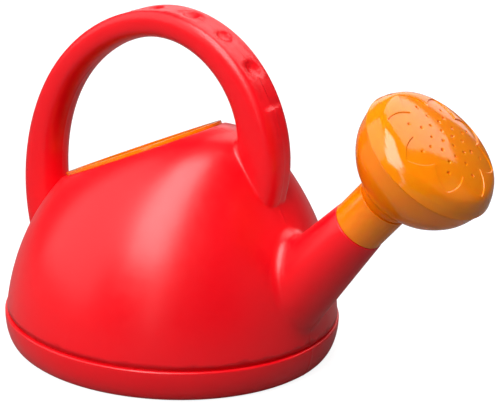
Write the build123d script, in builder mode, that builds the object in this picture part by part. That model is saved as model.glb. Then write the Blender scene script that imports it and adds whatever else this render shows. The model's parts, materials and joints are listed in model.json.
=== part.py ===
from build123d import *
from math import asin, cos, pi, radians, sin, tan
import os

# Toy watering can, millimetres.
# Frame: origin at the centre of the round base on the floor, +Z up, +X toward the spout.
# The can is symmetric about the plane Y = 0.

os.makedirs("parts", exist_ok=True)

# ---------------------------------------------------------------- driving dimensions
WALL = 2.0                  # blow-moulded wall of the red body
RUNNING_FIT = 0.05          # radial clearance between pieces that turn or slide on each other
FACE_GAP = 0.3              # clearance between faces that only meet
OVERLAP = 1.0               # how far pieces of one solid run into each other, and cuts run past it

# foot band under the dome
BAND_RADIUS = 86.0
BAND_HEIGHT = 16.7
FOOT_RADIUS = 79.6          # where the rounded foot meets the floor
BAND_SHOULDER = 1.0          # round at the band's upper edge
CAVITY_FOOT_ROUND = 12.0    # round inside, where the base meets the wall
GROOVE_WIDTH = 1.4
GROOVE_RADIUS = 84.0

# dome: radius * (1 - t**a)**b, with t the height above the dome's equator as a fraction
DOME_RADIUS = 85.4
DOME_EQUATOR = 9.1          # height of the widest section, inside the band
DOME_HEIGHT = 108.9
DOME_FULLNESS = 1.91        # a
DOME_ROUNDNESS = 0.53       # b
DOME_LEAN = 3.8             # slow drift of the sections toward the spout
CROWN_LEAN = 19.9           # quick drift close to the crown
CROWN_POWER = 7
DOME_SECTIONS = 12
DOME_LAST = 88.2            # degrees; the last section stops short of the crown's point

# slanted land that carries the filler opening
LAND_ANGLE = 26.0
LAND_HEIGHT = 107.0         # height of the land on the Z axis
LAND_CENTRE_X = -21.1
OPENING_LENGTH = 82.4
OPENING_WIDTH = 68.0
LAND_ROUND = 1.5            # where the land meets the dome

# spout and rose axis, in the plane Y = 0
SPOUT_END_X = 108.6         # where the red spout stops
SPOUT_END_Z = 86.4
SPOUT_ANGLE = 50.2          # above horizontal
SPOUT_RADIUS = 14.0         # at its end
SPOUT_TAPER = 0.10          # growth of the radius per mm toward the body
SPOUT_LENGTH = 75.0         # from its end to inside the dome
SPOUT_LIP = 0.5             # round at the spout's end, beside the sleeve
SPOUT_BLEND = 6.5           # round where the spout grows out of the dome
NIPPLE_RADIUS = 11.5
NIPPLE_LENGTH = 9.0
NIPPLE_BORE = 9.3

# arched handle: stations along its centreline, (x, z, thickness in the arch's plane)
HANDLE_WIDTH = 22.5
OUTER_SQUARENESS = 3.4      # exponent of the section's outer half, a flat face with soft corners
INNER_SQUARENESS = 2.3      # exponent of its inner half, nearly an ellipse
SECTION_POINTS = 16
HANDLE_STATIONS = [
    (-65.2, 14.6, 22.0),
    (-78.0, 38.4, 22.5),
    (-84.4, 70.0, 19.7),
    (-81.6, 99.8, 16.7),
    (-70.0, 127.2, 15.1),
    (-43.9, 153.6, 14.9),
    (-9.0, 165.9, 15.7),
    (24.1, 157.2, 17.6),
    (44.4, 135.6, 20.6),
    (51.5, 111.0, 24.4),
    (48.2, 88.2, 27.5),
    (39.4, 62.2, 26.9),
]
HANDLE_FRONT_ROUND = 2.0    # soft crease where the front leg meets the dome
HANDLE_REAR_ROUND = 1.5
HANDLE_BACKING = 4.9        # wall left behind the grip band and its dimples

# grip band: a flat strip on the handle's outer face, with round dimples
GRIP_DEPTH = 1.2
GRIP_START = 0.237          # fractions of the centreline's length
GRIP_END = 0.783
GRIP_SCOOP = 4.5            # hollow round where the strip runs out at each end
GRIP_SECTIONS = 9
GRIP_CLEARANCE = 6.0        # the cut reaches this far above the strip
DIMPLE_RADIUS = 4.8
DIMPLE_DEPTH = 1.7
DIMPLE_FIRST = 0.277
DIMPLE_PITCH = 0.057
DIMPLE_COUNT = 9

# filler rim, a collar pushed into the opening
RIM_FLANGE = 3.4            # flange beyond the opening's edge
RIM_PROUD = 1.8
RIM_WALL = 1.8
RIM_DEPTH = 10.0
RIM_BEAD = 0.5              # snap bead's height
RIM_ROUND = 0.6

# rose: sleeve, bowl and perforated cap on the spout's axis, placed by distance along it
SLEEVE_RADIUS = 13.7
SLEEVE_END = 20.1
SLEEVE_EDGE = 0.4
NECK_START = 9.8
NECK_BORE = 9.5
BEAD_STATION = 13.4
BEAD_HALF = 0.8
BEAD_HEIGHT = 0.6
BOWL_START = 20.4
BOWL_HEEL = 13.2            # flat ring of the bowl behind the sleeve's end
BOWL_PROFILE = [(17.4, 26.0), (26.6, 34.0), (32.9, 43.5)]
ROSE_WALL = 1.8
SEAM_RADIUS = 36.2
SEAM_STATION = 55.0
SEAM_OVERLAP = 2.4
SEAM_STEP = 0.4             # the cap stands proud of the bowl's edge by this much
FACE_PROFILE = [(10.0, 69.1), (20.0, 67.4), (30.3, 63.9)]
FACE_APEX = 69.7
PETALS = 8
PETAL_TIP = 30.2
PETAL_VALLEY = 20.7
PETAL_SAGITTA = 1.8
PETAL_RECESS = 0.6
HOLE_RADIUS = 0.7
HOLE_RINGS = [(4.5, 4, 0.0), (10.1, 8, 22.5), (14.4, 8, 0.0), (20.6, 8, 0.0)]  # radius, count, turn

# ---------------------------------------------------------------- planes
land_tilt = radians(LAND_ANGLE)
land_plane = Plane(
    origin=(LAND_CENTRE_X, 0, LAND_HEIGHT + LAND_CENTRE_X * tan(land_tilt)),
    x_dir=(cos(land_tilt), 0, sin(land_tilt)),
    z_dir=(-sin(land_tilt), 0, cos(land_tilt)),
)
spout_tilt = radians(SPOUT_ANGLE)
spout_plane = Plane(
    origin=(SPOUT_END_X, 0, SPOUT_END_Z),
    x_dir=(0, 1, 0),
    z_dir=(cos(spout_tilt), 0, sin(spout_tilt)),
)
# a plane through the spout's axis: its x is the radius, its y the distance along the axis
axis_plane = Plane(
    origin=spout_plane.origin,
    x_dir=(sin(spout_tilt), 0, -cos(spout_tilt)),
    z_dir=(0, -1, 0),
)
spout_axis = Axis(spout_plane.origin, spout_plane.z_dir)


# ---------------------------------------------------------------- shared shapes
def dome_section(height, inset):
    """Radius and X centre of the dome's horizontal section at a height, moved in by inset."""
    t = (height - DOME_EQUATOR) / DOME_HEIGHT
    scaled = min(t * DOME_HEIGHT / (DOME_HEIGHT - inset), 1.0)
    radius = (DOME_RADIUS - inset) * (1 - scaled**DOME_FULLNESS) ** DOME_ROUNDNESS
    return radius, DOME_LEAN * t**2 + CROWN_LEAN * t**CROWN_POWER


def dome(bottom, inset):
    """Leaning dome from a given height to its crown, lofted through circles."""
    first = asin((bottom - DOME_EQUATOR) / (DOME_HEIGHT - inset))
    last = radians(DOME_LAST)
    with BuildPart() as shape:
        for i in range(DOME_SECTIONS):
            angle = first + (last - first) * i / (DOME_SECTIONS - 1)
            height = DOME_EQUATOR + (DOME_HEIGHT - inset) * sin(angle)
            radius, centre = dome_section(height, inset)
            with BuildSketch(Plane(origin=(centre, 0, height), x_dir=(-1, 0, 0), z_dir=(0, 0, 1))):
                Circle(radius)
        loft()
        split(bisect_by=land_plane.offset(-inset), keep=Keep.BOTTOM)
    return shape.part


def superellipse(length, width, centre):
    """Points around the handle's section, shifted along its x."""
    points = []
    for i in range(SECTION_POINTS):
        angle = 2 * pi * i / SECTION_POINTS
        c, s = cos(angle), sin(angle)
        squareness = OUTER_SQUARENESS if c > 0 else INNER_SQUARENESS
        x = abs(c) ** (2 / squareness) * (1 if c > 0 else -1)
        y = abs(s) ** (2 / squareness) * (1 if s > 0 else -1)
        points.append((centre + x * length / 2, y * width / 2))
    return points


with BuildLine(Plane.XZ) as handle_line:
    Spline([(x, z) for x, z, _ in HANDLE_STATIONS])
handle_path = handle_line.edge()
station_fractions = [handle_path.param_at_point(Vector(x, 0, z)) for x, z, _ in HANDLE_STATIONS]


def handle_plane(fraction):
    """Plane across the handle: its x runs outward in the arch's plane, its y along Y."""
    tangent = handle_path % fraction
    return Plane(origin=handle_path @ fraction, x_dir=tangent.cross(Vector(0, 1, 0)), z_dir=tangent)


def handle_thickness(fraction):
    """Thickness of the handle in the arch's plane, between the stations' own."""
    for i in range(len(HANDLE_STATIONS) - 1):
        low, high = station_fractions[i], station_fractions[i + 1]
        if fraction <= high:
            share = (fraction - low) / (high - low)
            return HANDLE_STATIONS[i][2] * (1 - share) + HANDLE_STATIONS[i + 1][2] * share
    return HANDLE_STATIONS[-1][2]


def handle(inner, outer, side):
    """Arched handle lofted through its stations, its faces moved in by three insets."""
    with BuildPart() as shape:
        for (_, _, thickness), fraction in zip(HANDLE_STATIONS, station_fractions):
            section = superellipse(thickness - inner - outer, HANDLE_WIDTH - 2 * side, (inner - outer) / 2)
            with BuildSketch(handle_plane(fraction)):
                with BuildLine():
                    Spline(section, periodic=True)
                make_face()
        loft()
    return shape.part


def spout(inset):
    """Tapering spout from its end back into the dome."""
    with BuildPart() as shape:
        with BuildSketch(spout_plane.offset(-inset)):
            Circle(SPOUT_RADIUS - inset)
        with BuildSketch(spout_plane.offset(-SPOUT_LENGTH)):
            Circle(SPOUT_RADIUS + SPOUT_TAPER * SPOUT_LENGTH - inset)
        loft(ruled=True)
    return shape.part


# ---------------------------------------------------------------- red body
groove_top = BAND_HEIGHT + GROOVE_WIDTH

with BuildPart() as foot_band:
    with BuildSketch(Plane.XZ):
        with BuildLine():
            Line((0, 0), (FOOT_RADIUS, 0))
            EllipticalCenterArc(
                (FOOT_RADIUS, BAND_HEIGHT - BAND_SHOULDER),
                BAND_RADIUS - FOOT_RADIUS,
                BAND_HEIGHT - BAND_SHOULDER,
                start_angle=270,
                arc_size=90,
            )
            RadiusArc(
                (BAND_RADIUS, BAND_HEIGHT - BAND_SHOULDER),
                (BAND_RADIUS - BAND_SHOULDER, BAND_HEIGHT),
                -BAND_SHOULDER,
            )
            Polyline(
                (BAND_RADIUS - BAND_SHOULDER, BAND_HEIGHT),
                (GROOVE_RADIUS, BAND_HEIGHT),
                (GROOVE_RADIUS, groove_top + OVERLAP),
                (0, groove_top + OVERLAP),
                (0, 0),
            )
        make_face()
    revolve(axis=Axis.Z)

with BuildPart() as grip_band:
    for i in range(GRIP_SECTIONS):
        grip_fraction = GRIP_START + (GRIP_END - GRIP_START) * i / (GRIP_SECTIONS - 1)
        grip_floor = handle_thickness(grip_fraction) / 2 - GRIP_DEPTH
        with BuildSketch(handle_plane(grip_fraction)):
            with Locations((grip_floor + GRIP_CLEARANCE / 2, 0)):
                Rectangle(GRIP_CLEARANCE, HANDLE_WIDTH + 2 * OVERLAP)
    loft()
    for grip_fraction in (GRIP_START, GRIP_END):
        scoop_height = handle_thickness(grip_fraction) / 2 - GRIP_DEPTH + GRIP_SCOOP
        scoop_plane = handle_plane(grip_fraction)
        scoop_plane.origin = scoop_plane.origin + scoop_plane.x_dir * scoop_height
        with Locations(scoop_plane):
            Cylinder(GRIP_SCOOP, HANDLE_WIDTH + 2 * OVERLAP, rotation=(90, 0, 0))

with BuildPart() as dimples:
    ball_radius = (DIMPLE_RADIUS**2 + DIMPLE_DEPTH**2) / (2 * DIMPLE_DEPTH)
    for i in range(DIMPLE_COUNT):
        dimple_fraction = DIMPLE_FIRST + DIMPLE_PITCH * i
        dimple_plane = handle_plane(dimple_fraction)
        ball_height = handle_thickness(dimple_fraction) / 2 - GRIP_DEPTH - DIMPLE_DEPTH + ball_radius
        with Locations(dimple_plane.origin + dimple_plane.x_dir * ball_height):
            Sphere(ball_radius)

with BuildPart() as cavity:
    Cylinder(
        GROOVE_RADIUS - WALL,
        groove_top + WALL,
        align=(Align.CENTER, Align.CENTER, Align.MIN),
    )
    fillet(faces().sort_by(Axis.Z)[0].edges(), CAVITY_FOOT_ROUND)

with BuildPart() as can_body:
    add(dome(groove_top, 0))
    # soft edge of the land
    land_edge = faces().sort_by(Axis(land_plane.origin, land_plane.z_dir))[-1].edges()
    fillet(land_edge, LAND_ROUND)
    add(spout(0))
    # the one long edge in front of the dome is where the spout leaves it
    spout_root = edges().filter_by(lambda e: e.length > 100 and e.bounding_box().min.X > 60)
    fillet(spout_root, SPOUT_BLEND)
    spout_end = faces().filter_by(GeomType.PLANE).sort_by(Axis.X)[-1].edges()
    fillet(spout_end, SPOUT_LIP)
    add(handle(0, 0, 0))
    # long edges where the handle's front leg meets the dome, then those of its rear leg
    front_root = edges().filter_by(lambda e: e.length > 80 and 20 < e.bounding_box().min.X < 60)
    fillet(front_root, HANDLE_FRONT_ROUND)
    rear_root = edges().filter_by(lambda e: 40 < e.length < 70 and e.bounding_box().max.X < -60)
    fillet(rear_root, HANDLE_REAR_ROUND)
    add(foot_band.part)
    add(grip_band.part, mode=Mode.SUBTRACT)
    add(dimples.part, mode=Mode.SUBTRACT)
    with BuildSketch(spout_plane.offset(-WALL)):
        Circle(NIPPLE_RADIUS)
    extrude(amount=NIPPLE_LENGTH + WALL)
    # the hollow inside, open through the nipple and the land
    add(cavity.part.translate((0, 0, WALL)), mode=Mode.SUBTRACT)
    add(dome(groove_top + WALL, WALL), mode=Mode.SUBTRACT)
    add(spout(WALL), mode=Mode.SUBTRACT)
    add(handle(WALL, HANDLE_BACKING, WALL), mode=Mode.SUBTRACT)
    with BuildSketch(spout_plane.offset(-2 * WALL)):
        Circle(NIPPLE_BORE)
    extrude(amount=NIPPLE_LENGTH + 3 * WALL, mode=Mode.SUBTRACT)
    with BuildSketch(land_plane.offset(OVERLAP)):
        Ellipse(OPENING_LENGTH / 2, OPENING_WIDTH / 2)
    extrude(amount=-2 * WALL, mode=Mode.SUBTRACT)
can_body.part.label = "can_body"
export_step(can_body.part, "parts/can_body.step")

# ---------------------------------------------------------------- orange filler rim
skirt_length = OPENING_LENGTH / 2 - RUNNING_FIT
skirt_width = OPENING_WIDTH / 2 - RUNNING_FIT

with BuildPart() as filler_rim:
    with BuildSketch(land_plane):
        Ellipse(skirt_length + RIM_FLANGE, skirt_width + RIM_FLANGE)
    extrude(amount=RIM_PROUD)
    fillet(faces().sort_by(Axis(land_plane.origin, land_plane.z_dir))[-1].edges(), RIM_ROUND)
    with BuildSketch(land_plane):
        Ellipse(skirt_length, skirt_width)
    extrude(amount=-RIM_DEPTH)
    # snap bead that grips the land from below
    with BuildSketch(land_plane.offset(-WALL - FACE_GAP)):
        Ellipse(skirt_length + RIM_BEAD, skirt_width + RIM_BEAD)
    extrude(amount=-2 * RIM_BEAD)
    with BuildSketch(land_plane.offset(RIM_PROUD)):
        Ellipse(skirt_length - RIM_WALL, skirt_width - RIM_WALL)
    extrude(amount=-RIM_PROUD - RIM_DEPTH, mode=Mode.SUBTRACT)
filler_rim.part.label = "filler_rim"
export_step(filler_rim.part, "parts/filler_rim.step")

# ---------------------------------------------------------------- orange sleeve on the nipple
bore_radius = NIPPLE_RADIUS + RUNNING_FIT
groove_half = BEAD_HALF + FACE_GAP

with BuildPart() as rose_sleeve:
    with BuildSketch(axis_plane):
        with BuildLine():
            Polyline(
                (bore_radius, FACE_GAP),
                (SLEEVE_RADIUS - SLEEVE_EDGE, FACE_GAP),
                (SLEEVE_RADIUS, FACE_GAP + SLEEVE_EDGE),
                (SLEEVE_RADIUS, SLEEVE_END - SLEEVE_EDGE),
                (SLEEVE_RADIUS - SLEEVE_EDGE, SLEEVE_END),
                (bore_radius, SLEEVE_END),
                (bore_radius, BEAD_STATION + groove_half),
                (NIPPLE_RADIUS + BEAD_HEIGHT + FACE_GAP, BEAD_STATION + groove_half),
                (NIPPLE_RADIUS + BEAD_HEIGHT + FACE_GAP, BEAD_STATION - groove_half),
                (bore_radius, BEAD_STATION - groove_half),
                close=True,
            )
        make_face()
    revolve(axis=spout_axis)
rose_sleeve.part.label = "rose_sleeve"
export_step(rose_sleeve.part, "parts/rose_sleeve.step")

# ---------------------------------------------------------------- orange bowl of the rose
spigot_radius = SEAM_RADIUS - ROSE_WALL - RUNNING_FIT
spigot_top = SEAM_STATION + SEAM_OVERLAP
bowl_rim = (SEAM_RADIUS - SEAM_STEP, SEAM_STATION - FACE_GAP)

with BuildPart() as rose_back:
    with BuildSketch(axis_plane):
        with BuildLine():
            Polyline(
                (NECK_BORE, NECK_START),
                (NIPPLE_RADIUS, NECK_START),
                (NIPPLE_RADIUS, BEAD_STATION - BEAD_HALF),
                (NIPPLE_RADIUS + BEAD_HEIGHT, BEAD_STATION - BEAD_HALF / 2),
                (NIPPLE_RADIUS + BEAD_HEIGHT, BEAD_STATION + BEAD_HALF / 2),
                (NIPPLE_RADIUS, BEAD_STATION + BEAD_HALF),
                (NIPPLE_RADIUS, BOWL_START),
                (BOWL_HEEL, BOWL_START),
            )
            Spline((BOWL_HEEL, BOWL_START), *BOWL_PROFILE, bowl_rim)
            Polyline(
                bowl_rim,
                (spigot_radius, bowl_rim[1]),
                (spigot_radius, spigot_top),
                (spigot_radius - ROSE_WALL, spigot_top),
            )
            Spline(
                (spigot_radius - ROSE_WALL, spigot_top),
                *[(r - ROSE_WALL, s + ROSE_WALL / 2) for r, s in reversed(BOWL_PROFILE)],
                (NECK_BORE, BOWL_START + ROSE_WALL),
            )
            Line((NECK_BORE, BOWL_START + ROSE_WALL), (NECK_BORE, NECK_START))
        make_face()
    revolve(axis=spout_axis)
rose_back.part.label = "rose_back"
export_step(rose_back.part, "parts/rose_back.step")


# ---------------------------------------------------------------- orange perforated cap
def cap_outline(inset):
    """Points of the cap's domed face from the axis out, lowered along the axis by inset."""
    return [(0, FACE_APEX - inset)] + [(r, s - inset) for r, s in FACE_PROFILE]


with BuildPart() as petal_floor:
    with BuildSketch(axis_plane):
        with BuildLine():
            Spline(cap_outline(PETAL_RECESS), tangents=[(1, 0), (1, -0.5)])
            Polyline(
                cap_outline(PETAL_RECESS)[-1],
                (SEAM_RADIUS, FACE_PROFILE[-1][1] - PETAL_RECESS),
                (SEAM_RADIUS, SEAM_STATION - OVERLAP),
                (0, SEAM_STATION - OVERLAP),
                (0, FACE_APEX - PETAL_RECESS),
            )
        make_face()
    revolve(axis=spout_axis)

with BuildPart() as petal_recess:
    with BuildSketch(spout_plane.offset(SEAM_STATION)):
        with BuildLine():
            for k in range(PETALS):
                valley = Vector(PETAL_VALLEY, 0).rotate(Axis.Z, 360 / PETALS * (k - 0.5))
                tip = Vector(PETAL_TIP, 0).rotate(Axis.Z, 360 / PETALS * k)
                next_valley = Vector(PETAL_VALLEY, 0).rotate(Axis.Z, 360 / PETALS * (k + 0.5))
                SagittaArc(valley, tip, -PETAL_SAGITTA)
                SagittaArc(tip, next_valley, -PETAL_SAGITTA)
        make_face()
    extrude(amount=FACE_APEX - SEAM_STATION + OVERLAP)
    add(petal_floor.part, mode=Mode.SUBTRACT)

with BuildPart() as rose_face:
    with BuildSketch(axis_plane):
        with BuildLine():
            Spline(
                *cap_outline(0),
                (SEAM_RADIUS - ROSE_WALL, SEAM_STATION + 2 * SEAM_OVERLAP),
                (SEAM_RADIUS, SEAM_STATION),
                tangents=[(1, 0), (0, -1)],
            )
            Polyline(
                (SEAM_RADIUS, SEAM_STATION),
                (SEAM_RADIUS - ROSE_WALL, SEAM_STATION),
                (SEAM_RADIUS - ROSE_WALL, spigot_top + FACE_GAP),
            )
            Spline(
                (SEAM_RADIUS - ROSE_WALL, spigot_top + FACE_GAP),
                *reversed(cap_outline(ROSE_WALL)),
                tangents=[(-1, 1.5), (-1, 0)],
            )
            Line((0, FACE_APEX - ROSE_WALL), (0, FACE_APEX))
        make_face()
    revolve(axis=spout_axis)
    add(petal_recess.part, mode=Mode.SUBTRACT)
    with BuildSketch(spout_plane.offset(SEAM_STATION)):
        for ring_radius, ring_count, ring_turn in HOLE_RINGS:
            with PolarLocations(ring_radius, ring_count, start_angle=ring_turn):
                Circle(HOLE_RADIUS)
    extrude(amount=FACE_APEX - SEAM_STATION + OVERLAP, mode=Mode.SUBTRACT)
rose_face.part.label = "rose_face"
export_step(rose_face.part, "parts/rose_face.step")
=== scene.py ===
import json
from math import atan2, cos, pi, radians, sin, sqrt, tau

import bmesh
import bpy
from bpy.props import FloatProperty, FloatVectorProperty, IntProperty, PointerProperty, StringProperty
from mathutils import Matrix, Vector
from mathutils.bvhtree import BVHTree


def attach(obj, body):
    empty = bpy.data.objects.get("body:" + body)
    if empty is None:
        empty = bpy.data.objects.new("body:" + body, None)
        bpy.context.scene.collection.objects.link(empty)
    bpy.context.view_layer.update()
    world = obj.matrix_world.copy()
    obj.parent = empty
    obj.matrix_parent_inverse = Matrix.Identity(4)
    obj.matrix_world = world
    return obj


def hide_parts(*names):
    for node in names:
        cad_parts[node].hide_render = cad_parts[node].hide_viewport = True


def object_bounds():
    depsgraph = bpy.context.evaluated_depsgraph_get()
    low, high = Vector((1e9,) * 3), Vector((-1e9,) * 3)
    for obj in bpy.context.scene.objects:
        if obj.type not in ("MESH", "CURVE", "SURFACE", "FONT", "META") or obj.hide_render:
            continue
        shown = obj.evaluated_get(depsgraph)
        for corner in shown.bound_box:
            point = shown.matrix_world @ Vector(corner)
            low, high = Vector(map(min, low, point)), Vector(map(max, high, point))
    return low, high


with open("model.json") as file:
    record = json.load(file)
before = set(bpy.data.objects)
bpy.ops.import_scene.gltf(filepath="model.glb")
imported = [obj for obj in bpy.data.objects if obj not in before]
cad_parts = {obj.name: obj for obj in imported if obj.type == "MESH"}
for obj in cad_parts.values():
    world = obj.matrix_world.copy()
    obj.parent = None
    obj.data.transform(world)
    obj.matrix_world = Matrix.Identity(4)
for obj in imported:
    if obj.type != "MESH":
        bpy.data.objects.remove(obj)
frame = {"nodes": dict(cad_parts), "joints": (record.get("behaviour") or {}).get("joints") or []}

bl_info = {
    "name": "Watering can",
    "version": (1, 0, 0),
    "blender": (4, 5, 0),
    "location": "View3D > Sidebar > Watering can",
    "description": "Builds the moulded pieces, plastics and studio of a small garden watering can",
    "category": "Object",
}

MM = 0.001
CAD_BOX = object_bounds()

# ---------------------------------------------------------------- places read from the frame
turn_joint = next(j for j in frame["joints"] if j["name"] == "rose_turn")
ROSE_ORIGIN = Vector(turn_joint["pos_m"])
ROSE_AXIS = Vector(turn_joint["axis"]).normalized()
ROSE_SIDE = Vector((0, 1, 0))                  # where angles about the rose's axis start
ROSE_UP = ROSE_AXIS.cross(ROSE_SIDE)


def rose_spans(node):
    """Largest radius, first station and last station of a CAD node about the rose's axis, in mm."""
    radii, stations = [], []
    for vertex in frame["nodes"][node].data.vertices:
        offset = vertex.co - ROSE_ORIGIN
        station = offset.dot(ROSE_AXIS)
        stations.append(station / MM)
        radii.append((offset - station * ROSE_AXIS).length / MM)
    return max(radii), min(stations), max(stations)


# ---------------------------------------------------------------- general helpers
def linear(code):
    """Linear RGBA of an sRGB hex colour."""
    channels = []
    for i in (1, 3, 5):
        value = int(code[i:i + 2], 16) / 255
        channels.append(value / 12.92 if value <= 0.04045 else ((value + 0.055) / 1.055) ** 2.4)
    return (*channels, 1.0)


def smooth_line(points, steps):
    """Catmull-Rom curve through 2D points, with that many steps between each pair."""
    ends = [2 * Vector(points[0]) - Vector(points[1]), 2 * Vector(points[-1]) - Vector(points[-2])]
    p = [ends[0], *map(Vector, points), ends[1]]
    line = []
    for i in range(1, len(p) - 2):
        for k in range(steps):
            t = k / steps
            line.append(0.5 * (
                2 * p[i] + t * (p[i + 1] - p[i - 1])
                + t * t * (2 * p[i - 1] - 5 * p[i] + 4 * p[i + 1] - p[i + 2])
                + t ** 3 * (3 * p[i] - p[i - 1] - 3 * p[i + 1] + p[i + 2])
            ))
    line.append(Vector(points[-1]))
    return [tuple(v) for v in line]


def height_on(line, radius):
    """Station of a profile line at a radius, by straight steps between its points."""
    for (r0, s0), (r1, s1) in zip(line, line[1:]):
        if r0 <= radius <= r1:
            return s0 + (s1 - s0) * (radius - r0) / max(r1 - r0, 1e-9)
    return line[-1][1]


def on_rose(radius, station, angle=0.0):
    """Point at a radius, station and angle about the rose's axis, both lengths in mm."""
    out = cos(angle) * ROSE_SIDE + sin(angle) * ROSE_UP
    return ROSE_ORIGIN + ROSE_AXIS * station * MM + out * radius * MM


def spun(bm, profile, steps, centre=None, closed=False):
    """Spins a profile of (radius, station) in mm about the rose's axis, or a line beside it."""
    shift = Vector() if centre is None else centre
    verts = [bm.verts.new(on_rose(r, s) + shift) for r, s in profile]
    edges = [bm.edges.new(pair) for pair in zip(verts, verts[1:])]
    if closed:
        edges.append(bm.edges.new((verts[-1], verts[0])))
    bmesh.ops.spin(
        bm, geom=verts + edges, cent=ROSE_ORIGIN + shift, axis=ROSE_AXIS, dvec=(0, 0, 0),
        angle=tau, steps=steps, use_merge=True, use_duplicate=False,
    )
    bmesh.ops.remove_doubles(bm, verts=bm.verts, dist=1e-7)
    bmesh.ops.recalc_face_normals(bm, faces=bm.faces)


def round_edges(bm, radius, segments, above):
    """Bevels every edge whose faces turn by more than an angle."""
    sharp = [e for e in bm.edges if len(e.link_faces) == 2 and e.calc_face_angle() > above]
    bmesh.ops.bevel(
        bm, geom=sharp, offset=radius, offset_type="OFFSET", affect="EDGES", segments=segments,
        profile=0.5, material=-1, clamp_overlap=True,
    )


def new_object(name, bm):
    """Object at the origin from a bmesh, with smooth faces."""
    mesh = bpy.data.meshes.new(name)
    for face in bm.faces:
        face.smooth = True
    bm.to_mesh(mesh)
    bm.free()
    piece = bpy.data.objects.new(name, mesh)
    bpy.context.scene.collection.objects.link(piece)
    return piece


def apply_modifiers(piece):
    """Replaces a piece's mesh with what its modifiers make of it."""
    bpy.context.view_layer.update()
    graph = bpy.context.evaluated_depsgraph_get()
    made = bpy.data.meshes.new_from_object(piece.evaluated_get(graph))
    made.name = piece.name
    piece.modifiers.clear()
    piece.data = made


def weighted_normals(piece):
    """Keeps broad faces even beside their rounded edges."""
    modifier = piece.modifiers.new("even_shading", "WEIGHTED_NORMAL")
    modifier.keep_sharp = True
    modifier.weight = 80


def finish_piece(piece, body, nodes, material):
    """Gives a piece its plastic and puts it on its body in place of the CAD nodes."""
    piece.data.materials.clear()
    piece.data.materials.append(material)
    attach(piece, body)
    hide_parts(*nodes)


# ---------------------------------------------------------------- plastics
def add_node(tree, kind, settings=None, links=None):
    """Adds a node, with its properties or input values, and links its inputs."""
    node = tree.nodes.new(kind)
    for key, value in (settings or {}).items():
        if isinstance(key, str) and hasattr(node, key):
            setattr(node, key, value)
        else:
            node.inputs[key].default_value = value
    for key, source in (links or {}).items():
        tree.links.new(source, node.inputs[key])
    return node


def moulded_plastic(name, light, deep, roughness, spread, peel, peel_depth, haze, glow):
    """Procedural moulded plastic: tone drift, uneven gloss and a fine surface ripple.

    light and deep are the hex colours of thin and thick resin, peel the ripple's size in mm,
    glow the share of light that travels inside the resin and warms the shaded side.
    """
    material = bpy.data.materials.new(name)
    material.use_nodes = True
    tree = material.node_tree
    tree.nodes.clear()
    place = add_node(tree, "ShaderNodeTexCoord").outputs["Object"]
    drift = add_node(tree, "ShaderNodeTexNoise", {"Scale": 1 / (haze * MM), "Detail": 2.0}, {"Vector": place})
    tone = add_node(
        tree, "ShaderNodeMix", {"data_type": "RGBA"},
        {0: drift.outputs["Fac"]},
    )
    tone.inputs[6].default_value = linear(deep)
    tone.inputs[7].default_value = linear(light)
    scuff = add_node(
        tree, "ShaderNodeTexNoise", {"Scale": 1 / (haze * 0.22 * MM), "Detail": 4.0, "Roughness": 0.6},
        {"Vector": place},
    )
    gloss = add_node(
        tree, "ShaderNodeMapRange",
        {"From Min": 0.3, "From Max": 0.7, "To Min": roughness - spread, "To Max": roughness + spread},
        {"Value": scuff.outputs["Fac"]},
    )
    ripple = add_node(
        tree, "ShaderNodeTexNoise", {"Scale": 1 / (peel * MM), "Detail": 1.0}, {"Vector": place},
    )
    bump = add_node(
        tree, "ShaderNodeBump", {"Strength": 1.0, "Distance": peel_depth * MM},
        {"Height": ripple.outputs["Fac"]},
    )
    shader = add_node(
        tree, "ShaderNodeBsdfPrincipled",
        {
            "IOR": 1.5, "Subsurface Weight": glow, "Subsurface Radius": (1.0, 0.25, 0.05),
            "Subsurface Scale": 5 * MM,
        },
        {
            "Base Color": tone.outputs[2],
            "Roughness": gloss.outputs["Result"],
            "Normal": bump.outputs["Normal"],
        },
    )
    add_node(tree, "ShaderNodeOutputMaterial", None, {"Surface": shader.outputs["BSDF"]})
    return material


def blow_moulded_polyethylene(settings):
    """Red polyethylene blown against a satin mould: broad soft highlights over an even deep red."""
    return moulded_plastic(
        "red_blow_moulded_polyethylene", settings.light_red, settings.deep_red,
        settings.roughness, 0.03, settings.peel, 0.006, 26.0, 0.1,
    )


def injection_moulded_polypropylene(settings):
    """Orange polypropylene from a polished mould: clear, tight reflections on the curves."""
    name = "orange_injection_moulded_polypropylene"
    if name in bpy.data.materials:
        return bpy.data.materials[name]
    return moulded_plastic(
        name, settings.light_orange, settings.deep_orange,
        settings.roughness, 0.025, settings.peel, 0.003, 18.0, 0.45,
    )


# ---------------------------------------------------------------- settings
class BodySettings(bpy.types.PropertyGroup):
    """Sizes and finish of the red body."""

    parting_width: FloatProperty(
        name="Parting line width", description="Width of the raised line where the mould halves met",
        default=0.9 * MM, unit="LENGTH")
    parting_height: FloatProperty(
        name="Parting line height", description="How far the parting line stands up",
        default=0.12 * MM, unit="LENGTH")
    light_red: StringProperty(
        name="Light red", description="sRGB hex colour of the resin where it is thin", default="#F00014")
    deep_red: StringProperty(
        name="Deep red", description="sRGB hex colour of the resin where it is thick", default="#E60012")
    roughness: FloatProperty(
        name="Roughness", description="Mean roughness of the satin surface", default=0.32, subtype="FACTOR")
    peel: FloatProperty(
        name="Ripple size", description="Size of the surface's ripple in mm", default=1.6)


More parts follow.
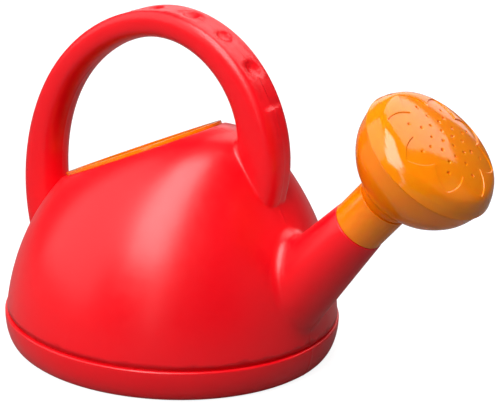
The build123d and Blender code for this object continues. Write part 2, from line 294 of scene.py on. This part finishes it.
class RimSettings(bpy.types.PropertyGroup):
    """Sizes of the collar round the filler opening."""

    tilt: FloatProperty(
        name="Tilt", description="Slope of the opening", default=radians(26.0), unit="ROTATION")
    proud: FloatProperty(
        name="Flange height", description="How far the flange stands above the land, in mm", default=1.8)
    flange: FloatProperty(
        name="Flange width", description="Width of the flange beyond the skirt, in mm", default=3.4)
    wall: FloatProperty(name="Wall", description="Thickness of the skirt, in mm", default=1.8)
    depth: FloatProperty(name="Skirt depth", description="Depth of the skirt below the land, in mm", default=10.0)
    steps: IntProperty(name="Steps", description="Steps round the ellipse", default=192)


class RoseSettings(bpy.types.PropertyGroup):
    """Sizes and finish of the orange sleeve, bowl and perforated cap."""

    wall: FloatProperty(name="Wall", description="Thickness of the bowl and cap, in mm", default=1.8)
    petals: IntProperty(name="Petals", description="Petals of the flower on the cap", default=8)
    petal_tip: FloatProperty(name="Petal tip", description="Radius of the petals' tips, in mm", default=30.2)
    petal_valley: FloatProperty(
        name="Petal valley", description="Radius between two petals, in mm", default=20.7)
    petal_bulge: FloatProperty(
        name="Petal bulge", description="How far a petal's side bows out, in mm", default=1.8)
    petal_recess: FloatProperty(
        name="Petal recess", description="Depth of the flower in the cap, in mm", default=0.6)
    hole_radius: FloatProperty(name="Hole radius", description="Radius of a hole, in mm", default=0.7)
    light_orange: StringProperty(
        name="Light orange", description="sRGB hex colour of the resin where it is thin", default="#FF8800")
    deep_orange: StringProperty(
        name="Deep orange", description="sRGB hex colour of the resin where it is thick", default="#FF7C00")
    roughness: FloatProperty(
        name="Roughness", description="Mean roughness of the glossy surface", default=0.12, subtype="FACTOR")
    peel: FloatProperty(name="Ripple size", description="Size of the surface's ripple in mm", default=2.4)


class StageSettings(bpy.types.PropertyGroup):
    """Floor, lights and camera."""

    azimuth: FloatProperty(
        name="Azimuth", description="Camera's turn about the can", default=radians(33.99), unit="ROTATION")
    elevation: FloatProperty(
        name="Elevation", description="Camera's height angle", default=radians(18.97), unit="ROTATION")
    roll: FloatProperty(
        name="Roll", description="Camera's turn about its own axis", default=radians(2.51), unit="ROTATION")
    distance: FloatProperty(
        name="Distance", description="Camera to target", default=1.0, unit="LENGTH")
    target: FloatVectorProperty(
        name="Target", description="Point the camera looks at", default=(0.04526, 0.0, 0.08378),
        subtype="TRANSLATION")
    lens: FloatProperty(name="Lens", description="Focal length in mm", default=145.7)
    room_light: FloatProperty(
        name="Room light", description="Strength of the white room's light on the can", default=0.07)
    floor_radius: FloatProperty(name="Floor radius", description="Size of the floor", default=9.0, unit="LENGTH")


# ---------------------------------------------------------------- red body
def near(trees, point, reach):
    """True if a point lies within reach of any of the surfaces."""
    return any(tree.find_nearest(point, reach)[0] is not None for tree in trees)


def outer_faces(bm):
    """Faces of the shell's outer skin: all but those reached from the floor of the hollow."""
    neighbours = []
    for node in ("filler_rim", "rose_sleeve"):
        other = bmesh.new()
        other.from_mesh(frame["nodes"][node].data)
        neighbours.append(BVHTree.FromBMesh(other))
        other.free()
    covered = {f for f in bm.faces if near(neighbours, f.calc_center_median(), 0.12 * MM)}
    inside = [f for f in bm.faces if f.normal.z > 0.99 and f.calc_center_median().z < 4 * MM]
    seen = set(inside)
    while inside:
        face = inside.pop()
        for edge in face.edges:
            for other in edge.link_faces:
                if other not in seen and other not in covered:
                    seen.add(other)
                    inside.append(other)
    return [f for f in bm.faces if f not in seen and f not in covered]


class MakeBody(bpy.types.Operator):
    """Red blow-moulded shell with its parting line"""

    bl_idname = "watering_can.make_body"
    bl_label = "Make the body"

    def execute(self, context):
        settings = context.scene.can_body_settings
        bm = bmesh.new()
        bm.from_mesh(frame["nodes"]["can_body"].data)
        bmesh.ops.remove_doubles(bm, verts=bm.verts, dist=1e-6)
        for offset in (-settings.parting_width / 2, 0, settings.parting_width / 2):
            bmesh.ops.bisect_plane(
                bm, geom=bm.verts[:] + bm.edges[:] + bm.faces[:], dist=1e-7,
                plane_co=(0, offset, 0), plane_no=(0, 1, 0),
            )
        bm.normal_update()
        on_line = {
            v for f in outer_faces(bm) for v in f.verts
            if abs(v.co.y) < 1e-6 and v.co.z > settings.parting_width
        }
        if not on_line:
            raise RuntimeError("the parting line found no outer skin")
        lifts = {v: v.normal * settings.parting_height for v in on_line}
        low, high = CAD_BOX
        for vertex, lift in lifts.items():
            vertex.co += lift
            vertex.co.x = max(vertex.co.x, low[0])
            vertex.co.z = min(vertex.co.z, high[2])
        piece = new_object("watering_can_body", bm)
        piece.data.set_sharp_from_angle(angle=radians(40))
        finish_piece(piece, "can", ["can_body"], blow_moulded_polyethylene(settings))
        return {"FINISHED"}


# ---------------------------------------------------------------- filler rim
class MakeRim(bpy.types.Operator):
    """Orange collar pushed into the slanted filler opening"""

    bl_idname = "watering_can.make_rim"
    bl_label = "Make the filler rim"

    def execute(self, context):
        settings = context.scene.can_rim_settings
        along = Vector((cos(settings.tilt), 0, sin(settings.tilt)))
        up = Vector((-sin(settings.tilt), 0, cos(settings.tilt)))
        points = [v.co for v in frame["nodes"]["filler_rim"].data.vertices]
        reach = [p.dot(along) / MM for p in points]
        top = max(p.dot(up) for p in points) / MM
        half_length = (max(reach) - min(reach)) / 2
        half_width = max(p.y for p in points) / MM
        middle = (max(reach) + min(reach)) / 2
        land = top - settings.proud
        place = Matrix((along, (0, 1, 0), up)).transposed()
        skirt = -settings.flange
        inner = skirt - settings.wall
        # inset from the flange's edge and height above the land, round the section
        section = [
            (0, 0), (0, settings.proud), (inner, settings.proud),
            (inner, -settings.depth), (skirt, -settings.depth),
            (skirt, -3.3), (skirt + 0.5, -3.1), (skirt + 0.5, -2.5), (skirt, -2.3), (skirt, 0),
        ]
        # spun as a wide round ring first, then laid onto the slanted ellipse point by point
        bm = bmesh.new()
        verts = [bm.verts.new((1.0 + inset * MM, 0, height * MM)) for inset, height in section]
        edges = [bm.edges.new(pair) for pair in zip(verts, verts[1:] + verts[:1])]
        bmesh.ops.spin(
            bm, geom=verts + edges, cent=(0, 0, 0), axis=(0, 0, 1), dvec=(0, 0, 0),
            angle=tau, steps=settings.steps, use_merge=True, use_duplicate=False,
        )
        bmesh.ops.remove_doubles(bm, verts=bm.verts, dist=1e-6)
        for vertex in bm.verts:
            inset = (vertex.co.xy.length - 1.0) / MM
            angle = atan2(vertex.co.y, vertex.co.x)
            local = Vector((
                middle + cos(angle) * (half_length + inset),
                sin(angle) * (half_width + inset),
                land + vertex.co.z / MM,
            ))
            vertex.co = place @ local * MM
        bmesh.ops.recalc_face_normals(bm, faces=bm.faces)
        round_edges(bm, 0.45 * MM, 3, radians(60))
        piece = new_object("filler_rim_collar", bm)
        weighted_normals(piece)
        material = injection_moulded_polypropylene(context.scene.can_rose_settings)
        finish_piece(piece, "can", ["filler_rim"], material)
        return {"FINISHED"}


# ---------------------------------------------------------------- rose
SPIN_STEPS = 192
NIPPLE = 11.5                     # radius of the body's nipple, on which the sleeve slides
SLEEVE_BORE = 11.55
BEAD = (13.4, 0.8, 0.6)           # station, half width and height of the snap bead on the neck


class MakeSleeve(bpy.types.Operator):
    """Orange sleeve that joins the rose to the spout"""

    bl_idname = "watering_can.make_sleeve"
    bl_label = "Make the sleeve"

    def execute(self, context):
        radius, start, end = rose_spans("rose_sleeve")
        station, half, height = BEAD
        groove = half + 0.3
        profile = [
            (SLEEVE_BORE, start), (radius, start), (radius, end), (SLEEVE_BORE, end),
            (SLEEVE_BORE, station + groove), (NIPPLE + height + 0.3, station + groove),
            (NIPPLE + height + 0.3, station - groove), (SLEEVE_BORE, station - groove),
        ]
        bm = bmesh.new()
        spun(bm, profile, SPIN_STEPS, closed=True)
        round_edges(bm, 0.25 * MM, 3, radians(50))
        piece = new_object("rose_sleeve_ring", bm)
        weighted_normals(piece)
        material = injection_moulded_polypropylene(context.scene.can_rose_settings)
        finish_piece(piece, "sleeve", ["rose_sleeve"], material)
        return {"FINISHED"}


class MakeBowl(bpy.types.Operator):
    """Orange bowl of the rose, with the neck that turns in the sleeve"""

    bl_idname = "watering_can.make_bowl"
    bl_label = "Make the rose's bowl"

    def execute(self, context):
        wall = context.scene.can_rose_settings.wall
        station, half, height = BEAD
        neck_bore, bowl_start, heel = 9.5, 20.4, 13.2
        radius, start, end = rose_spans("rose_back")
        shoulder = end - 2.7                          # where the cap's skirt takes over
        waypoints = [(heel, bowl_start), (17.4, 26.0), (26.6, 34.0), (32.9, 43.5), (radius, shoulder)]
        outer = smooth_line(waypoints, 10)
        spigot = 34.35
        inside = [(spigot - wall, end)] + [(r - wall, s + wall / 2) for r, s in waypoints[3:0:-1]]
        inner = smooth_line(inside + [(neck_bore, bowl_start + wall)], 8)
        profile = [
            (neck_bore, start), (NIPPLE, start), (NIPPLE, station - half),
            (NIPPLE + height, station - half / 2), (NIPPLE + height, station + half / 2),
            (NIPPLE, station + half), (NIPPLE, bowl_start), *outer, (spigot, shoulder), (spigot, end), *inner,
        ]
        bm = bmesh.new()
        spun(bm, profile, SPIN_STEPS, closed=True)
        round_edges(bm, 0.2 * MM, 2, radians(50))
        piece = new_object("rose_bowl", bm)
        weighted_normals(piece)
        material = injection_moulded_polypropylene(context.scene.can_rose_settings)
        finish_piece(piece, "rose_head", ["rose_back"], material)
        return {"FINISHED"}


def petal_radius(angle, settings):
    """Radius of the flower's outline at an angle about the axis: arcs from tip to valley."""
    pitch = tau / settings.petals
    from_tip = abs((angle + pitch / 2) % pitch - pitch / 2)
    tip = Vector((settings.petal_tip, 0))
    valley = settings.petal_valley * Vector((cos(pitch / 2), sin(pitch / 2)))
    chord = valley - tip
    arc_radius = ((chord.length / 2) ** 2 + settings.petal_bulge ** 2) / (2 * settings.petal_bulge)
    outward = Vector((chord.y, -chord.x)).normalized()
    centre = (tip + valley) / 2 + outward * (settings.petal_bulge - arc_radius)
    along = centre.dot(Vector((cos(from_tip), sin(from_tip))))
    return along + sqrt(arc_radius ** 2 - centre.length_squared + along ** 2)


STEP = 0.45                       # half the width of the rounded step round the flower, in mm
MIDDLE_RING = 25.0                # ring of the spun face that is bent into the flower's outline
OUTER_RING = 33.4                 # beyond this the face stays round
HOLE_RINGS = [(4.5, 4, 0.0), (10.1, 8, 22.5), (14.4, 8, 0.0), (20.6, 8, 0.0)]  # radius, count, turn


def bend_into_flower(bm, face_line, settings):
    """Moves the face's rings so that one follows the petals, and sinks what is inside it."""
    for vertex in bm.verts:
        offset = vertex.co - ROSE_ORIGIN
        station = offset.dot(ROSE_AXIS) / MM
        flat = offset - station * MM * ROSE_AXIS
        radius = flat.length / MM
        if radius > OUTER_RING or station < height_on(face_line, radius) - settings.wall / 2:
            continue
        angle = atan2(flat.dot(ROSE_UP), flat.dot(ROSE_SIDE))
        outline = petal_radius(angle, settings)
        beyond = radius - MIDDLE_RING
        if beyond < -STEP:
            placed = radius * (outline - STEP) / (MIDDLE_RING - STEP)
        elif beyond <= STEP:
            placed = outline + beyond
        else:
            share = (beyond - STEP) / (OUTER_RING - MIDDLE_RING - STEP)
            placed = outline + STEP + share * (OUTER_RING - outline - STEP)
        t = min(max((STEP - beyond) / (2 * STEP), 0), 1)
        sunk = settings.petal_recess * t * t * (3 - 2 * t)
        vertex.co = on_rose(placed, height_on(face_line, placed) - sunk, angle)


def cut_holes(piece, face_line, settings):
    """Cuts the rings of holes, each with a small flare at its mouth."""
    bm = bmesh.new()
    for ring_radius, count, turn in HOLE_RINGS:
        mouth = height_on(face_line, ring_radius) - settings.petal_recess
        flare = settings.hole_radius + 0.45
        profile = [
            (0, mouth - 6), (settings.hole_radius, mouth - 6), (settings.hole_radius, mouth - 0.3),
            (flare, mouth + 0.25), (0, mouth + 0.25),
        ]
        for k in range(count):
            angle = radians(turn) + tau * k / count
            hole = bmesh.new()
            spun(hole, profile, 20, centre=on_rose(ring_radius, 0, angle) - ROSE_ORIGIN)
            mesh = bpy.data.meshes.new("hole")
            hole.to_mesh(mesh)
            hole.free()
            bm.from_mesh(mesh)
            bpy.data.meshes.remove(mesh)
    cutter = new_object("hole_cutter", bm)
    modifier = piece.modifiers.new("holes", "BOOLEAN")
    modifier.operation = "DIFFERENCE"
    modifier.solver = "EXACT"
    modifier.object = cutter
    apply_modifiers(piece)
    bpy.data.objects.remove(cutter)


class MakeCap(bpy.types.Operator):
    """Orange perforated cap of the rose, with the sunk flower on its face"""

    bl_idname = "watering_can.make_cap"
    bl_label = "Make the rose's cap"

    def execute(self, context):
        settings = context.scene.can_rose_settings
        radius, seam, apex = rose_spans("rose_face")
        wall = settings.wall
        apex += settings.petal_recess                 # the CAD face is sunk by this much at its middle
        waypoints = [(0, apex), (10, 69.1), (20, 67.4), (30.3, 63.9), (34.1, 59.6), (radius, seam)]
        face_line = smooth_line(waypoints, 12)
        rings = [k * 1.2 for k in range(20)]
        rings += [MIDDLE_RING + STEP * t for t in (-1, -0.6, -0.2, 0.2, 0.6, 1)]
        rings += [26.6, 27.8, 29.0, 30.2, 31.4, 32.5, OUTER_RING]
        face = [(r, height_on(face_line, r)) for r in rings]
        skirt = [p for p in face_line if p[0] > OUTER_RING + 0.2]
        spigot = 34.4
        under = smooth_line(
            [(spigot, seam + 2.7), (30.3, 62.1), (20, 65.6), (10, 67.3), (0, apex - wall)], 8
        )
        bm = bmesh.new()
        spun(bm, face + skirt + [(spigot, seam)] + under, SPIN_STEPS)
        round_edges(bm, 0.35 * MM, 3, radians(55))
        bend_into_flower(bm, face_line, settings)
        bmesh.ops.remove_doubles(bm, verts=bm.verts, dist=1e-6)
        piece = new_object("rose_cap", bm)
        cut_holes(piece, face_line, settings)
        piece.data.set_sharp_from_angle(angle=radians(50))
        weighted_normals(piece)
        material = injection_moulded_polypropylene(settings)
        finish_piece(piece, "rose_head", ["rose_face"], material)
        return {"FINISHED"}


# ---------------------------------------------------------------- stage
def area_light(name, place, target, size, power, colour):
    """Soft box of width and height at a place, turned to a target."""
    data = bpy.data.lights.new(name, "AREA")
    data.shape = "RECTANGLE"
    data.size, data.size_y = size
    data.energy = power
    data.color = linear(colour)[:3]
    lamp = bpy.data.objects.new(name, data)
    lamp.location = place
    lamp.rotation_euler = (Vector(target) - Vector(place)).to_track_quat("-Z", "Y").to_euler()
    bpy.context.scene.collection.objects.link(lamp)


def direction(azimuth, elevation):
    """Unit vector from the can toward a place round it."""
    level = cos(elevation)
    return Vector((sin(azimuth) * level, -cos(azimuth) * level, sin(elevation)))


class MakeStage(bpy.types.Operator):
    """Pale floor, soft studio light and the camera"""

    bl_idname = "watering_can.make_stage"
    bl_label = "Make the stage"

    def execute(self, context):
        settings = context.scene.can_stage_settings
        scene = context.scene
        scene.view_settings.view_transform = "Standard"
        self.make_floor(settings)
        self.make_world(settings, scene)
        target = Vector(settings.target)
        for name, turn, rise, away, size, power, colour in (
            ("key_softbox", -25, 58, 1.4, (0.75, 1.6), 29.0, "#FFFFFF"),
            ("left_softbox", -86, 34, 1.9, (2.2, 2.2), 21.0, "#FFFFFF"),
            ("front_softbox", -14, 14, 2.0, (0.2, 0.9), 1.2, "#FFFFFF"),
            ("right_softbox", 74, 10, 1.8, (1.6, 1.6), 1.4, "#FFFFFF"),
            ("back_softbox", 142, 52, 1.5, (1.4, 1.0), 9.0, "#FFFFFF"),
            ("backdrop_softbox", 180, 15, 2.0, (2.4, 0.7), 6.0, "#FFFFFF"),
        ):
            place = target + direction(settings.azimuth + radians(turn), radians(rise)) * away
            area_light(name, place, target, size, power, colour)
        self.make_camera(settings, target, scene)
        return {"FINISHED"}

    def make_floor(self, settings):
        bm = bmesh.new()
        bmesh.ops.create_circle(bm, cap_ends=True, radius=settings.floor_radius, segments=96)
        floor = new_object("floor", bm)
        material = bpy.data.materials.new("white_paper_sweep")
        material.use_nodes = True
        tree = material.node_tree
        tree.nodes.clear()
        place = add_node(tree, "ShaderNodeTexCoord").outputs["Object"]
        grain = add_node(tree, "ShaderNodeTexNoise", {"Scale": 900.0}, {"Vector": place})
        bump = add_node(
            tree, "ShaderNodeBump", {"Strength": 0.2, "Distance": 0.02 * MM}, {"Height": grain.outputs["Fac"]})
        seen = add_node(tree, "ShaderNodeLightPath").outputs["Is Camera Ray"]
        lift = add_node(tree, "ShaderNodeMath", {"operation": "MULTIPLY", 1: 0.9}, {0: seen})
        paper = add_node(
            tree, "ShaderNodeBsdfPrincipled",
            {
                "Base Color": linear("#787878"), "Roughness": 0.9,
                "Emission Color": linear("#FFFFFF"),
            },
            {"Normal": bump.outputs["Normal"], "Emission Strength": lift.outputs["Value"]},
        )
        add_node(tree, "ShaderNodeOutputMaterial", None, {"Surface": paper.outputs["BSDF"]})
        floor.data.materials.append(material)

    def make_world(self, settings, scene):
        world = bpy.data.worlds.new("studio")
        scene.world = world
        world.use_nodes = True
        tree = world.node_tree
        tree.nodes.clear()
        seen = add_node(tree, "ShaderNodeLightPath").outputs["Is Camera Ray"]
        strength = add_node(
            tree, "ShaderNodeMapRange", {"To Min": settings.room_light, "To Max": 1.0}, {"Value": seen})
        room = add_node(
            tree, "ShaderNodeBackground", {"Color": linear("#FFFFFF")}, {"Strength": strength.outputs["Result"]})
        add_node(tree, "ShaderNodeOutputWorld", None, {"Surface": room.outputs["Background"]})

    def make_camera(self, settings, target, scene):
        back = direction(settings.azimuth, settings.elevation)
        right = (-back).cross(Vector((0, 0, 1))).normalized()
        up = right.cross(-back)
        level, tilt = cos(settings.roll), sin(settings.roll)
        turned = Matrix((level * right + tilt * up, level * up - tilt * right, back)).transposed()
        data = bpy.data.cameras.new("camera")
        data.lens = settings.lens
        data.clip_start, data.clip_end = 0.05, 60.0
        camera = bpy.data.objects.new("camera", data)
        camera.matrix_world = Matrix.Translation(target + back * settings.distance) @ turned.to_4x4()
        scene.collection.objects.link(camera)
        scene.camera = camera


# ---------------------------------------------------------------- panel and registration
OPERATORS = (MakeBody, MakeRim, MakeSleeve, MakeBowl, MakeCap, MakeStage)
SETTINGS = {
    "can_body_settings": BodySettings,
    "can_rim_settings": RimSettings,
    "can_rose_settings": RoseSettings,
    "can_stage_settings": StageSettings,
}


class WateringCanPanel(bpy.types.Panel):
    """Lists the can's settings and the steps that build it"""

    bl_idname = "VIEW3D_PT_watering_can"
    bl_label = "Watering can"
    bl_space_type = "VIEW_3D"
    bl_region_type = "UI"
    bl_category = "Watering can"

    def draw(self, context):
        for name in SETTINGS:
            group = getattr(context.scene, name)
            box = self.layout.box()
            for key in group.__annotations__:
                box.prop(group, key)
        for operator in OPERATORS:
            self.layout.operator(operator.bl_idname)


def register():
    for group in SETTINGS.values():
        bpy.utils.register_class(group)
    for name, group in SETTINGS.items():
        setattr(bpy.types.Scene, name, PointerProperty(type=group))
    for operator in OPERATORS:
        bpy.utils.register_class(operator)
    bpy.utils.register_class(WateringCanPanel)


def unregister():
    bpy.utils.unregister_class(WateringCanPanel)
    for operator in reversed(OPERATORS):
        bpy.utils.unregister_class(operator)
    for name, group in SETTINGS.items():
        delattr(bpy.types.Scene, name)
        bpy.utils.unregister_class(group)


def main():
    register()
    bpy.ops.watering_can.make_body()
    bpy.ops.watering_can.make_rim()
    bpy.ops.watering_can.make_sleeve()
    bpy.ops.watering_can.make_bowl()
    bpy.ops.watering_can.make_cap()
    bpy.ops.watering_can.make_stage()


if __name__ == "__main__":
    main()
